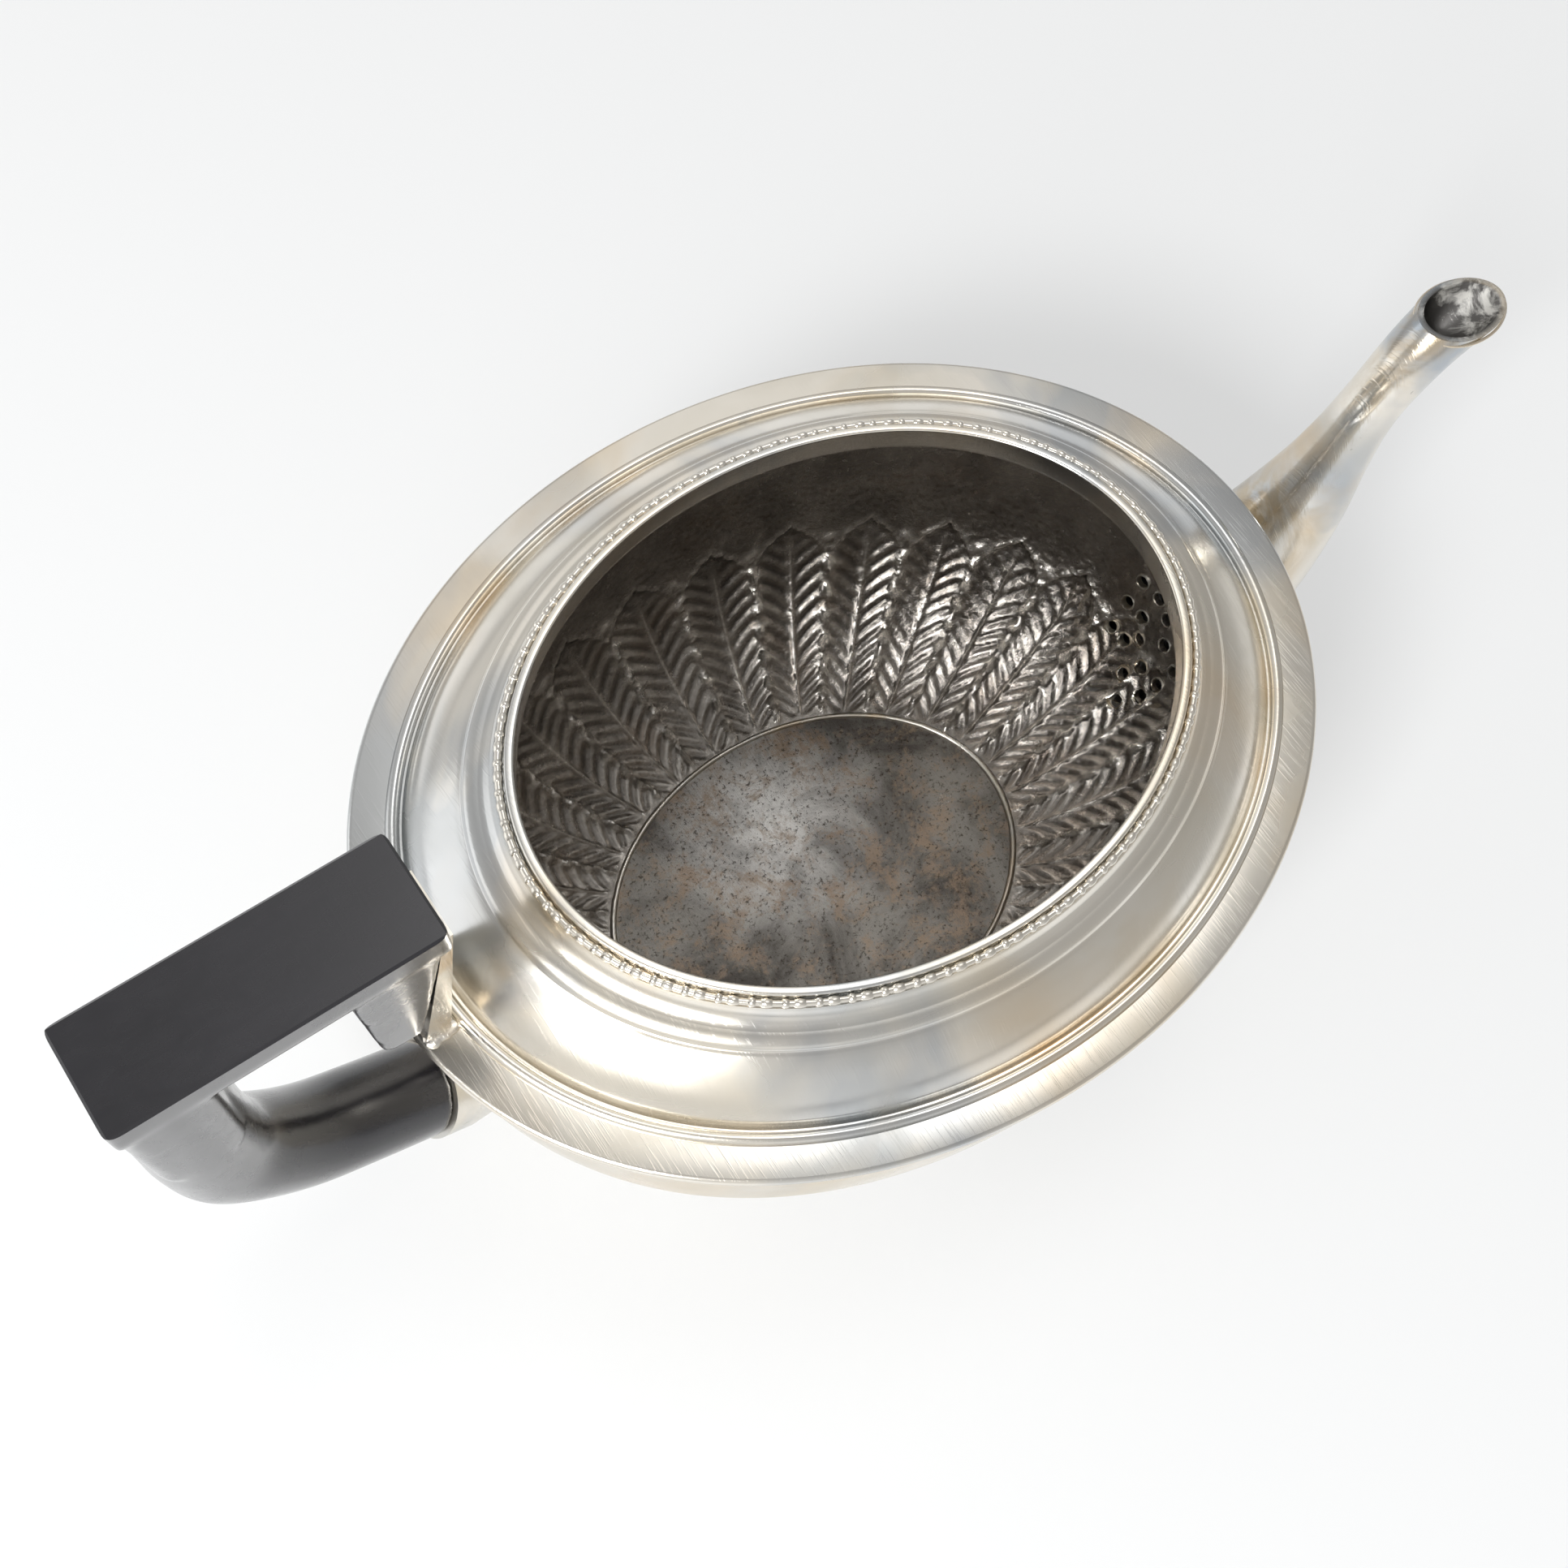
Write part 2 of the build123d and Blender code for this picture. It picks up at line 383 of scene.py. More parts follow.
def scratch_group():
    """Fine polishing scratches in three directions."""
    group = Group("polishing_scratches", 900.0, ["Height"])
    lines = [
        group.span(group.noise(
            group.scale, 1.0, Rotation=(turn * 0.6, turn * 0.4, turn), Scale=(1.0, 0.025, 0.05),
        ), 0.63, 0.72)
        for turn in (0.3, 1.4, 2.4)
    ]
    total = group.maths("MAXIMUM", group.maths("MAXIMUM", lines[0], lines[1]), lines[2])
    group.link(total, group.out.inputs["Height"])
    return group.tree


def tarnish_group():
    """Cloudy patches: overall dullness, warm gold, blue-grey tarnish that is partly painted
    reflection, and dark specks.
    """
    group = Group("tarnish", 30.0, ["Dull", "Warm", "Blue", "Specks"])
    for label, factor, low, high, push in (
        ("Dull", 1.0, 0.42, 0.66, (0, 0, 0)),
        ("Warm", 0.8, 0.51, 0.66, (3, 1, 2)),
        ("Blue", 0.7, 0.51, 0.62, (8, 5, 6)),
        ("Specks", 24.0, 0.74, 0.78, (1, 9, 4)),
    ):
        scale = group.maths("MULTIPLY", group.scale, factor)
        patches = group.noise(scale, 4.0, distortion=0.6, Location=push)
        group.link(group.span(patches, low, high), group.out.inputs[label])
    return group.tree


SCRATCHES = scratch_group()
TARNISH = tarnish_group()

CLEAN = (0.86, 0.82, 0.75)
DULL = (0.66, 0.61, 0.51)
GOLDEN = (0.78, 0.60, 0.38)
# Blue-grey: tarnish, and partly a painted reflection
BLUE_TARNISH_AND_REFLECTION = (0.42, 0.47, 0.53)
SPECK = (0.07, 0.045, 0.03)

# Where the bottom gets a painted highlight
PAINTED_HIGHLIGHT_SPOT = (0.0, 16.0, 3.0)


def silver(name, rough=0.17, dull=0.7, warm=0.35, blue_tarnish_and_reflection=0.35, specks=0.0, scratches=0.12,
           scale=26.0, finish=True):
    """Hand-polished silver with light tarnish, its blue-grey patches partly painted reflection;
    without finish its sockets are left to be fed.
    """
    made = Shader(name)
    tarnish = made.group(TARNISH, Scale=scale)
    colour = CLEAN
    for patch, share, tint in (
        ("Dull", dull, DULL), ("Warm", warm, GOLDEN),
        ("Blue", blue_tarnish_and_reflection, BLUE_TARNISH_AND_REFLECTION), ("Specks", specks, SPECK),
    ):
        if share:
            colour = made.mix(made.maths("MULTIPLY", tarnish.outputs[patch], share), colour, tint)
    made.shader.inputs["Metallic"].default_value = 1.0
    roughness = made.span(tarnish.outputs["Dull"], 0.0, 1.0, rough, rough + 0.16)
    if finish:
        made.link(colour, made.shader.inputs["Base Color"])
        made.link(roughness, made.shader.inputs["Roughness"])
        made.bump(made.group(SCRATCHES, Scale=4000.0).outputs["Height"], scratches, 0.00005)
    return made, colour, roughness


def two_faced(made, inside, outer, inner, key):
    """Feeds a socket with one value outside and another inside."""
    if key == "Base Color":
        made.link(made.mix(inside, outer, inner), made.shader.inputs[key])
        return
    blend = made.node("ShaderNodeMix", data_type="FLOAT")
    made.link(inside, blend.inputs["Factor"])
    made.link(outer, blend.inputs[2])
    made.link(inner, blend.inputs[3])
    made.link(blend.outputs[0], made.shader.inputs[key])


def chased_silver():
    """The bowl: polished outside, dark and stained inside; there the chased relief is painted
    lighter on its raised parts as painted highlight, and darkest in its hollows as painted shade.
    """
    made, outside_colour, outside_rough = silver("chased_silver", rough=0.2, finish=False)
    inside = made.node("ShaderNodeAttribute", attribute_name="inside").outputs["Fac"]
    relief = made.node("ShaderNodeAttribute", attribute_name="relief").outputs["Fac"]
    cloud = made.noise(90.0, 6.0, 0.6, 0.5)
    stain = made.mix(made.span(cloud, 0.35, 0.65), (0.24, 0.22, 0.20), (0.45, 0.42, 0.385))
    brown = made.span(made.noise(60.0, 7.0, 0.65, 0.4), 0.52, 0.66, 0.0, 0.4)
    stain = made.mix(brown, stain, (0.30, 0.235, 0.18))
    # Painted highlight: the relief's raised parts are painted near white
    raised = made.span(relief, 0.0, 0.4)
    lit = made.mix(raised, stain, (0.93, 0.90, 0.85))
    # Painted shade: the relief's hollows are painted near black
    hollow = made.span(relief, -0.48, -0.12, 0.85, 0.0)
    dark = made.mix(hollow, lit, (0.085, 0.078, 0.074))
    two_faced(made, inside, outside_colour, dark, "Base Color")
    rough_in = made.span(made.noise(420.0, 4.0, 0.6), 0.3, 0.7, 0.12, 0.30)
    two_faced(made, inside, outside_rough, rough_in, "Roughness")
    grain = made.maths("MULTIPLY", made.noise(700.0, 5.0, 0.72, 0.6), inside)
    lines = made.group(SCRATCHES, Scale=3000.0).outputs["Height"]
    made.bump(made.maths("ADD", grain, made.maths("MULTIPLY", lines, 0.025)), 0.8, 0.00022)
    return made.material


def floor_silver():
    """The bottom: stained dark, with a painted highlight in one place, and with fine pits and
    scratches.
    """
    made = Shader("floor_silver")
    cloud = made.noise(48.0, 9.0, 0.68, 0.6)
    brown = made.noise(110.0, 10.0, 0.8, 0.3)
    away = made.node("ShaderNodeVectorMath", operation="DISTANCE")
    made.link(made.node("ShaderNodeTexCoord").outputs["Object"], away.inputs[0])
    away.inputs[1].default_value = Vector(PAINTED_HIGHLIGHT_SPOT) * MM
    near = made.span(away.outputs["Value"], 0.027, 0.002)
    # Painted highlight: the bottom is painted near white round one spot
    painted_highlight = made.maths("MULTIPLY", near, made.span(cloud, 0.36, 0.52, 0.4, 1.0))
    stained = made.mix(made.span(cloud, 0.40, 0.60), (0.13, 0.12, 0.11), (0.33, 0.315, 0.29))
    base = made.mix(painted_highlight, stained, (0.95, 0.94, 0.92))
    base = made.mix(made.span(brown, 0.49, 0.60, 0.0, 0.8), base, (0.40, 0.30, 0.22))
    pits = made.noise(1100.0, 5.0, 0.8)
    base = made.mix(made.span(pits, 0.55, 0.62, 0.0, 0.85), base, (0.07, 0.06, 0.05))
    made.link(base, made.shader.inputs["Base Color"])
    made.shader.inputs["Metallic"].default_value = 1.0
    made.link(made.span(cloud, 0.3, 0.7, 0.42, 0.27), made.shader.inputs["Roughness"])
    lines = made.group(SCRATCHES, Scale=2600.0).outputs["Height"]
    made.bump(made.maths("SUBTRACT", made.maths("MULTIPLY", lines, 0.12), pits), 0.8, 0.00018)
    return made.material


def tea_worn_spout():
    """The spout: polished and tarnished outside, with painted warm and blue-grey reflections on its
    upward faces; dark inside with crusts of limescale.
    """
    made, colour, rough = silver("spout_silver", rough=0.12, dull=0.6, warm=0.85, blue_tarnish_and_reflection=0.8,
                                 specks=0.9, scale=36.0, finish=False)
    inside = made.node("ShaderNodeAttribute", attribute_name="inside").outputs["Fac"]
    upper = made.node("ShaderNodeAttribute", attribute_name="upper").outputs["Fac"]
    # Painted reflection: warm gold in patches on the outside's upward faces
    painted_warm_reflection = made.span(made.noise(75.0, 6.0, 0.6, 1.2), 0.44, 0.58)
    painted_warm_reflection = made.maths("MULTIPLY", painted_warm_reflection, made.span(upper, 0.2, 0.7))
    colour = made.mix(painted_warm_reflection, colour, (0.50, 0.39, 0.24))
    # Painted reflection: blue-grey in patches on the outside's upward faces
    painted_grey_reflection = made.span(made.noise(48.0, 4.0, 0.6, 0.9, Scale=(1.7, 1, 1)), 0.46, 0.56)
    painted_grey_reflection = made.maths("MULTIPLY", painted_grey_reflection, made.span(upper, 0.45, 0.85))
    colour = made.mix(painted_grey_reflection, colour, (0.26, 0.31, 0.36))
    crust = made.span(made.noise(170.0, 7.0, 0.66, 0.4), 0.50, 0.60)
    lining = made.mix(crust, (0.16, 0.155, 0.15), (0.70, 0.69, 0.66))
    two_faced(made, inside, colour, lining, "Base Color")
    two_faced(made, inside, rough, made.span(crust, 0.0, 1.0, 0.35, 0.7), "Roughness")
    lines = made.group(SCRATCHES, Scale=4000.0).outputs["Height"]
    made.bump(made.maths("ADD", lines, made.maths("MULTIPLY", crust, inside)), 0.15, 0.0001)
    return made.material


def black_composition():
    """Polished black composition, dulled by handling, with faint smears and dust."""
    made = Shader("black_handle")
    cloud = made.noise(60.0, 5.0, 0.6)
    base = made.mix(made.span(cloud, 0.35, 0.7), (0.004, 0.0037, 0.007), (0.009, 0.0085, 0.013))
    made.link(base, made.shader.inputs["Base Color"])
    made.shader.inputs["Specular IOR Level"].default_value = 0.38
    made.shader.inputs["Coat Weight"].default_value = 0.9
    made.shader.inputs["Coat Roughness"].default_value = 0.22
    smear = made.noise(140.0, 4.0, 0.6, 0.8, Scale=(1, 3, 1), Rotation=(0, 0, 0.5))
    made.link(made.span(smear, 0.3, 0.7, 0.20, 0.31), made.shader.inputs["Roughness"])
    lines = made.group(SCRATCHES, Scale=3000.0).outputs["Height"]
    dust = made.span(made.noise(1200.0, 2.0, 0.6), 0.68, 0.76)
    made.bump(made.maths("ADD", lines, dust), 0.05, 0.00004)
    return made.material


body_silver = silver("polished_silver", blue_tarnish_and_reflection=0.6, warm=0.45)[0].material
bead_silver = silver("beaded_silver", rough=0.16, dull=0.3, warm=0.1, blue_tarnish_and_reflection=0.1)[0].material
spout_silver = tea_worn_spout()
socket_silver = silver(
    "socket_silver", rough=0.26, warm=0.6, scratches=0.4, scale=60.0)[0].material
black = black_composition()


# ---------------------------------------------------------------- bowl and floor

def wall(turn, depth=0.0):
    """A point of the bowl's wall; turn is the angle below the widest height, depth goes inwards."""
    if turn >= 0:
        return (BELLY_CORE + (BELLY_REACH - depth) * math.cos(turn),
                BELLY_HEIGHT - (BELLY_DROP - depth) * math.sin(turn))
    rise = -turn * BELLY_DROP
    part = rise / BELLY_RISE
    return BELLY_CORE + BELLY_REACH * math.sqrt(1 - part * part) - depth, BELLY_HEIGHT + rise


FLOOR_TURN = math.acos((floor_high.x - BELLY_CORE) / BELLY_REACH)
LEAF_TURN = math.asin((BELLY_HEIGHT - LEAF_TOP) / BELLY_DROP)
FLANGE_TURN = -(flange_low.z - BELLY_HEIGHT) / BELLY_DROP


def soft_step(value):
    """From 0 to 1 with soft ends."""
    value = min(1.0, max(0.0, value))
    return value * value * (3 - 2 * value)


def leaf_relief(across, up, wander, fine):
    """Height of the chasing towards the inside, in millimetres.

    Across is -1 to 1 over a leaf, up is 0 at the bottom and 1 at the tip, and wander shifts
    the veins. Without fine, only the soft shape that shows on the back is given.
    """
    side = abs(across)
    tip_line = 1.0 - 0.13 * side - 0.06 * side ** 5 + 0.006 * math.cos(side * 22.0 + wander)
    in_leaf = soft_step((tip_line - up) / 0.025)
    relief = -0.85 * (1 - side ** 2.4) * (0.45 + 0.55 * up) * in_leaf
    rib = math.exp(-(((1 - side) / 0.12) ** 2)) * soft_step((0.86 - up) / 0.04)
    if not fine:
        return soft_step(up / 0.05) * (relief + 0.4 * rib)
    midrib = math.exp(-((across / 0.07) ** 2)) * soft_step((tip_line - up) / 0.2)
    relief += 0.42 * midrib * in_leaf
    wave = 0.5 + 0.5 * math.cos(2 * math.pi * VEINS * (up - 0.15 * side ** 0.75) + wander)
    veins = 0.42 * wave ** 0.8 - 0.21
    middle_fade, edge_fade = soft_step((side - 0.05) / 0.15), soft_step((0.95 - side) / 0.16)
    veins *= middle_fade * edge_fade * (1 - 0.6 * soft_step((up - 0.8) / 0.12))
    relief += veins * in_leaf
    beading = 0.5 + 0.5 * math.cos(2 * math.pi * BEADS_PER_RIB * up + 2 * wander)
    relief += rib * (0.20 + 1.05 * beading ** 1.5 * (1.1 - 0.4 * up))
    relief += 0.30 * math.exp(-(((tip_line - up) / 0.014) ** 2))
    relief += 0.42 * math.exp(-(((1 - side) / 0.17) ** 2) - ((up - 0.905) / 0.022) ** 2)
    return soft_step(up / 0.05) * relief


def bowl_outline():
    """Close rows where the leaves are, wide ones above them."""
    def rows(count, depth):
        top = LEAF_TURN - 0.08
        lower = [wall(FLOOR_TURN + (top - FLOOR_TURN) * k / count, depth) for k in range(count + 1)]
        upper = [wall(top + (FLANGE_TURN - top) * k / 7, depth) for k in range(1, 8)]
        return lower + upper
    return rows(LEAF_ROWS_OUTSIDE, 0.0) + rows(LEAF_ROWS, SHEET)[::-1]


def chase(bm):
    """Works the leaves into both faces of the wall, and keeps the relief for the finish."""
    relief_layer = bm.verts.layers.float.new("relief")
    inside_layer = bm.verts.layers.float.new("inside")
    for v in bm.verts:
        radius = math.hypot(v.co.x, v.co.y) / MM
        below = BELLY_HEIGHT - v.co.z / MM
        out = radius - BELLY_CORE
        angle = math.atan2(v.co.y, v.co.x)
        if below > 0:
            turn = math.atan2(below / BELLY_DROP, out / BELLY_REACH)
            reach = math.hypot(below / BELLY_DROP, out / BELLY_REACH)
            v[inside_layer] = 1.0 if reach < 1 - 0.5 * SHEET / BELLY_REACH else 0.0
        else:
            turn = 0.0
            v[inside_layer] = 1.0 if radius < wall(below / BELLY_DROP)[0] - 0.5 * SHEET else 0.0
        up = (FLOOR_TURN - turn) / (FLOOR_TURN - LEAF_TURN)
        if up > 1.1:
            continue
        place = angle * LEAVES / (2 * math.pi) + 0.5 - LEAF_TURN_BY / LEAF_COLUMNS
        leaf = math.floor(place)
        across = 2 * (place - leaf) - 1
        hand = noise.noise(Vector((leaf * 3.7, up * 3.0, 0.5)))
        strength = 1 + 0.3 * noise.noise(v.co * 60)
        spot = (across, up + 0.025 * hand, 1.3 * hand)
        relief = leaf_relief(*spot, v[inside_layer] > 0) * strength
        v[relief_layer] = relief - 0.7 * leaf_relief(*spot, False) * strength
        v.co.x -= relief * MM * math.cos(turn) * math.cos(angle)
        v.co.y -= relief * MM * math.cos(turn) * math.sin(angle)
        v.co.z += relief * MM * math.sin(turn)


def drill():
    """Cylinders along X at the strainer's holes."""
    bm = bmesh.new()
    for across, height in HOLES:
        middle = Vector(((DRILL_FROM + DRILL_TO) / 2, across, height)) * MM
        bmesh.ops.create_cone(
            bm, cap_ends=True, segments=20, radius1=HOLE / 2 * MM, radius2=HOLE / 2 * MM,
            depth=(DRILL_TO - DRILL_FROM) * MM,
            matrix=Matrix.Translation(middle) @ Matrix.Rotation(math.pi / 2, 4, "Y"),
        )
    return bm


def burr(dice):
    """A ragged ring with a three-sided section: inner foot, crest and outer foot."""
    ring = bmesh.new()
    for k in range(BURR_POINTS):
        g = math.tau * k / BURR_POINTS
        proud, radius = dice.uniform(0.12, 0.42), HOLE / 2 + dice.uniform(0.05, 0.2)
        for low, far in ((-0.3, 0.0), (proud, 0.06), (-0.3, 0.42)):
            out = radius + far
            ring.verts.new(Vector((out * math.cos(g), out * math.sin(g), low)) * MM)
    ring.verts.ensure_lookup_table()
    for k in range(BURR_POINTS):
        here, there = 3 * k, 3 * ((k + 1) % BURR_POINTS)
        for n in range(3):
            corners = (here + n, there + n, there + (n + 1) % 3, here + (n + 1) % 3)
            ring.faces.new([ring.verts[c] for c in corners])
    return ring


def make_burrs(bm, material):
    """Rings of metal that the drill pushed up round the strainer's holes, on the bowl bm."""
    tree = BVHTree.FromBMesh(bm)
    dice = random.Random(11)
    rings = bmesh.new()
    for across, height in HOLES:
        start = Vector((DRILL_FROM, across, height)) * MM
        place, normal, _, _ = tree.ray_cast(start, Vector((1, 0, 0)))
        turn = normal.to_track_quat("Z", "X").to_matrix().to_4x4()
        ring = burr(dice)
        ring.transform(Matrix.Translation(place) @ turn)
        join(rings, ring)
    bmesh.ops.recalc_face_normals(rings, faces=rings.faces[:])
    piece("strainer_burrs", rings, material, "socket_silver", sharp=60)


def make_bowl(material):
    bm = spin(bowl_outline(), columns=LEAVES * LEAF_COLUMNS)
    chase(bm)
    squeeze(bm)
    make_burrs(bm, socket_silver)
    mesh = cut(loose("bowl_shell", bm), loose("strainer_drill", drill()))
    finished("bowl_chased", mesh, material, "chased_silver", "bowl", sharp=50)


def make_floor(material):
    """The bottom sheet, a little dished."""
    edge, top, dish = floor_high.x - 0.1, floor_high.z + 0.3, 1.7
    shares = [1 - k / 28 for k in range(29)]
    upper = [(edge * share, top - dish * (1 - share ** 2)) for share in shares]
    bm = spin([(0, 0), (edge, 0)] + upper, closed=False, columns=COLUMNS_BELOW)
    unevenness(bm, 0.16, 14, keep=lambda co: co.z > 0.001)
    squeeze(bm)
    piece("floor", bm, material, "floor_silver", "floor_plate", sharp=60)


def make_seam(material):
    """A proud line of solder where the bottom meets the wall."""
    section = arc((floor_high.x - 0.9, floor_high.z + 0.15), 0.75, 0, 330, 11)
    bm = spin(section, columns=COLUMNS_BELOW)
    unevenness(bm, 0.12, 3)
    squeeze(bm)
    piece("floor_seam", bm, material, "socket_silver", sharp=60)


def make_foot(material):
    section = [(46.2, 0), (48.7, 0), (49.15, 0.45), (49.1, 1.2), (48.0, 1.25), (46.3, 0.75)]
    bm = spin(section, columns=COLUMNS_BELOW)
    squeeze(bm)
    piece("foot", bm, material, "polished_silver", "foot_rim")


# ---------------------------------------------------------------- shoulder, flange, mouth

def make_flange(material):
    out, thick = flange_high.x, flange_high.z - flange_low.z
    edge = arc((out - thick / 2, flange_low.z + thick / 2), thick / 2, -90, 90, 8)
    inner = 79.5
    bm = spin([(inner, flange_low.z)] + edge + [(inner, flange_high.z)])
    squeeze(bm)
    piece("flange", bm, material, "polished_silver", "flange_rim")


def make_ridge(material):
    low, high = measured("ridge_wire")
    radius = high.z - low.z
    bm = spin(arc((high.x - radius, low.z), radius, 0, 180, 10))
    squeeze(bm)
    piece("ridge", bm, material, "polished_silver", "ridge_wire")


def make_shoulder(material):
    dome = flowing(DOME, 6)
    outer = dome + flowing(NECK_RIDGE, 4) + flowing(COVE, 5)
    inner = [(a - SHEET, z - 0.35 * SHEET) for a, z in dome]
    neck = 61.45
    bm = spin(outer + [(neck, 90.4), (neck, 86.2)] + inner[::-1])
    unevenness(bm, 0.24, 30, keep=lambda co: 0.0768 < co.z < 0.0855)
    squeeze(bm)
    piece("shoulder_dome", bm, material, "polished_silver", "shoulder", sharp=40)


def make_collar(material):
    """Upright lining of the mouth, rolled over the beads at the top."""
    inner, outer = 59.6, collar_high.x - 0.02
    low, high = collar_low.z, collar_high.z
    roll_out = arc((outer - 0.55, high - 0.55), 0.55, 0, 90, 5)
    roll_in = arc((inner + 0.5, high - 0.5), 0.5, 90, 180, 5)
    foot = [(inner, low + 0.9), (inner - 0.12, low + 0.5)]
    bm = spin([(inner + 0.25, low), (outer, low)] + roll_out + roll_in + foot)
    unevenness(bm, 0.05, 22, keep=lambda co: co.z < high * MM - 0.001)
    squeeze(bm)
    piece("collar", bm, material, "polished_silver", "mouth_collar")


def make_beads(material):
    """Round beads and long reels in turn on a thin core wire."""
    low, high = measured("bead_wire")
    radius = (high.z - low.z) / 2
    ring, level = high.x - radius, (high.z + low.z) / 2
    bm = spin(arc((ring, level), radius * 0.72, 0, 324, 9), columns=200)
    squeeze(bm)
    width, steps = oval_width(ring), 4000
    turns = [2 * math.pi * k / steps for k in range(steps + 1)]
    spots = [Vector((ring * math.cos(t), width * math.sin(t), level)) for t in turns]
    runs = [0.0]
    for one, other in zip(spots, spots[1:]):
        runs.append(runs[-1] + (other - one).length)
    pitch = runs[-1] / BEAD_PAIRS
    step = 0
    for k in range(BEAD_PAIRS):
        for offset, size in BEAD_AND_REEL:
            while runs[step] < (k + offset) * pitch:
                step += 1
            along = (spots[(step + 1) % steps] - spots[step - 1]).normalized()
            turn = along.to_track_quat("X", "Z").to_matrix().to_4x4()
            form = Matrix.Diagonal((*(Vector(size) * radius * MM), 1))
            place = Matrix.Translation(spots[step] * MM) @ turn @ form
            bmesh.ops.create_uvsphere(bm, u_segments=10, v_segments=7, radius=1.0, matrix=place)
    piece("bead_and_reel", bm, material, "beaded_silver", "bead_wire", sharp=60)


# ---------------------------------------------------------------- spout

def ring_matrix(station):
    """Takes a flat unit circle to its place and size as a section of a tube."""
    x, z, rise, across, tall = station
    tilt = Matrix.Rotation(-math.radians(rise), 4, "Y")
    upright = Matrix(((0, 0, 1, 0), (1, 0, 0, 0), (0, 1, 0, 0), (0, 0, 0, 1)))
    size = Matrix.Diagonal((across * MM, tall * MM, 1, 1))
    return Matrix.Translation(Vector((x, 0, z)) * MM) @ tilt @ upright @ size


def tube(sections, steps, segments, capped):
    """A tube through round sections, in the form of SPOUT and ARM."""
    stations = flowing(sections, steps)
    bm = bmesh.new()
    here = ring_matrix(stations[0])
    bmesh.ops.create_circle(bm, cap_ends=capped, segments=segments, radius=1.0, matrix=here)
    edges = bm.edges[:]
    for station in stations[1:]:
        there = ring_matrix(station)
        made = bmesh.ops.extrude_edge_only(bm, edges=edges)["geom"]
        verts = [part for part in made if isinstance(part, bmesh.types.BMVert)]
        edges = [part for part in made if isinstance(part, bmesh.types.BMEdge) and part.is_boundary]
        bmesh.ops.transform(bm, matrix=there @ here.inverted(), verts=verts)
        here = there
    if capped:
        bmesh.ops.holes_fill(bm, edges=edges, sides=0)
    bmesh.ops.recalc_face_normals(bm, faces=bm.faces[:])
    return bm


def spout_tube(shrink=0.0):
    """The spout's skin, cut off at the lip."""
    sections = [(*station[:3], station[3] - shrink, station[4] - shrink) for station in SPOUT]
    bm = tube(sections, 10, 56, False)
    fall = math.radians(LIP_FALL)
    bmesh.ops.bisect_plane(
        bm, geom=bm.verts[:] + bm.edges[:] + bm.faces[:], clear_outer=True,
        plane_co=Vector((LIP_MIDDLE, 0, LIP_HEIGHT)) * MM,
        plane_no=(math.sin(fall), 0, math.cos(fall)),
    )
    return bm


def make_spout(material):
    """Two skins joined at both ends, cut where they meet the bowl.

    The attributes tell the finish what is inside, and how far the outside faces upwards.
    """
    outer, inner = spout_tube(), spout_tube(1.0)
    for skin, value in ((outer, 0.0), (inner, 1.0)):
        inside = skin.verts.layers.float.new("inside")
        upper = skin.verts.layers.float.new("upper")
        skin.normal_update()
        for v in skin.verts:
            v[inside] = value
            v[upper] = max(0.0, v.normal.z if skin is outer else -v.normal.z)
    bmesh.ops.reverse_faces(inner, faces=inner.faces[:])
    join(outer, inner)
    open_edges = [e for e in outer.edges if e.is_boundary]
    for end in (
        [e for e in open_edges if e.verts[0].co.x < ROOT_END * MM],
        [e for e in open_edges if e.verts[0].co.x > TIP_END * MM],
    ):
        bmesh.ops.bridge_loops(outer, edges=end)
    bmesh.ops.recalc_face_normals(outer, faces=outer.faces[:])
    span = FLANGE_TURN - FLOOR_TURN
    outline = [(0, 0)] + [wall(FLOOR_TURN + span * k / 50, 0.4) for k in range(51)]
    plug = spin(outline + [(0, flange_low.z)], closed=False, columns=256)
    squeeze(plug)
    mesh = cut(loose("spout_skin", outer), loose("bowl_plug", plug))
    finished("spout_tube_shaped", mesh, material, "spout_silver", "spout", sharp=45)


def make_lip_wire(material):
    """Half-round band soldered round the outside of the lip."""
    skin = spout_tube()
    rim = [e for e in skin.edges if e.is_boundary and e.verts[0].co.x > TIP_END * MM]
    spots = [rim[0].verts[0]]
    edge = rim[0]
    while edge.other_vert(spots[-1]) is not spots[0]:
        spots.append(edge.other_vert(spots[-1]))
        edge = next(e for e in spots[-1].link_edges if e.is_boundary and e is not edge)
    line = [v.co.copy() for v in spots]
    skin.free()
    middle = sum(line, Vector()) / len(line)
    curve = bpy.data.curves.new("lip_line", "CURVE")
    curve.dimensions = "3D"
    curve.bevel_depth = 0.5 * LIP_WIRE * MM
    curve.bevel_resolution = 3
    spline = curve.splines.new("POLY")
    spline.points.add(len(line) - 1)
    spline.use_cyclic_u = True
    for spot, place in zip(spline.points, line):
        out = (place - middle).normalized() * 0.42 * LIP_WIRE * MM
        spot.co = (*(place + out - Vector((0, 0, 1.6 * LIP_WIRE * MM))), 1)
    helper = bpy.data.objects.new("lip_line", curve)
    mesh = bpy.data.meshes.new_from_object(helper)
    bpy.data.objects.remove(helper)
    finished("spout_lip", mesh, material, "polished_silver", "spout_lip_wire", sharp=60)


# ---------------------------------------------------------------- handle

def block(low, high, foot=None):
    """A box between two corners; foot gives the lower face's own corners, for a tapering one."""
    bm = bmesh.new()
    middle, size = (Vector(low) + Vector(high)) / 2, Vector(high) - Vector(low)
    place = Matrix.Translation(middle) @ Matrix.Diagonal((*size, 1))
    bmesh.ops.create_cube(bm, size=1.0, matrix=place)
    if foot:
        for v in bm.verts:
            if v.co.z < middle.z:
                v.co.x = foot[0] if v.co.x < middle.x else foot[1]
                v.co.y = math.copysign(foot[2], v.co.y)
    return bm


